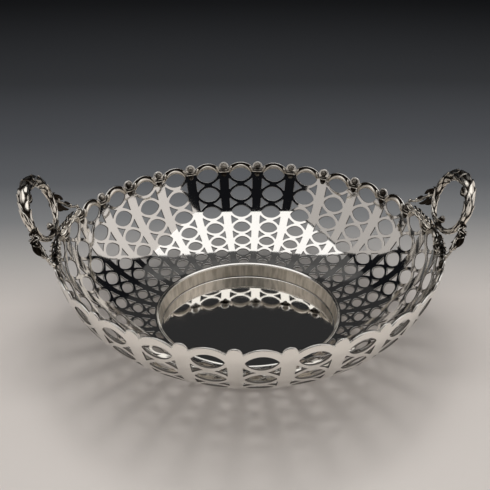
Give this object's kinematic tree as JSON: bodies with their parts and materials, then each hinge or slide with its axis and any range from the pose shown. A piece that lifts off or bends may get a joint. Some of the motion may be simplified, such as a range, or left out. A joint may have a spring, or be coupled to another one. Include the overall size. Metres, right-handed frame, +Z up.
{
  "type": "pierced bowl",
  "caption": "Round pierced silver bowl with a scalloped rim, a plain round well and a leaning wreath ring handle at each end.",
  "frame": {"origin": "on the table, under the middle of the bowl", "axes": "+X through the two handles, +Z up"},
  "size_m": [0.2616, 0.2316, 0.105],
  "materials": {
    "wall_silver": "polished sheet with fine wear",
    "dish_silver": "polished floor, faintly scratched by use",
    "rim_silver": "cast, polished on top and dark in its hollows",
    "handle_silver": "cast and chased, dark in its hollows"
  },
  "bodies": {
    "root": {"pierced_wall": "wall_silver", "centre_dish": "dish_silver", "well_wire": "wall_silver", "foot_ring": "wall_silver", "rim_casting_01": "rim_silver", "rim_casting_02": "rim_silver", "rim_casting_03": "rim_silver", "rim_casting_04": "rim_silver", "rim_casting_05": "rim_silver", "rim_casting_06": "rim_silver", "rim_casting_07": "rim_silver", "rim_casting_08": "rim_silver", "rim_casting_09": "rim_silver", "rim_casting_10": "rim_silver", "rim_casting_11": "rim_silver", "rim_casting_12": "rim_silver", "rim_casting_13": "rim_silver", "rim_casting_14": "rim_silver", "rim_casting_15": "rim_silver", "rim_casting_16": "rim_silver", "rim_casting_17": "rim_silver", "rim_casting_18": "rim_silver", "rim_casting_19": "rim_silver", "rim_casting_20": "rim_silver", "rim_casting_21": "rim_silver", "rim_casting_22": "rim_silver", "rim_casting_23": "rim_silver", "rim_casting_24": "rim_silver", "rim_casting_25": "rim_silver", "rim_casting_26": "rim_silver", "rim_casting_27": "rim_silver", "rim_casting_28": "rim_silver", "wreath_handle_right": "handle_silver", "handle_bud_right": "handle_silver", "leaf_spray_right_back": "handle_silver", "leaf_spray_right_front": "handle_silver", "wreath_handle_left": "handle_silver", "handle_bud_left": "handle_silver", "leaf_spray_left_back": "handle_silver", "leaf_spray_left_front": "handle_silver"}
  },
  "joints": []
}
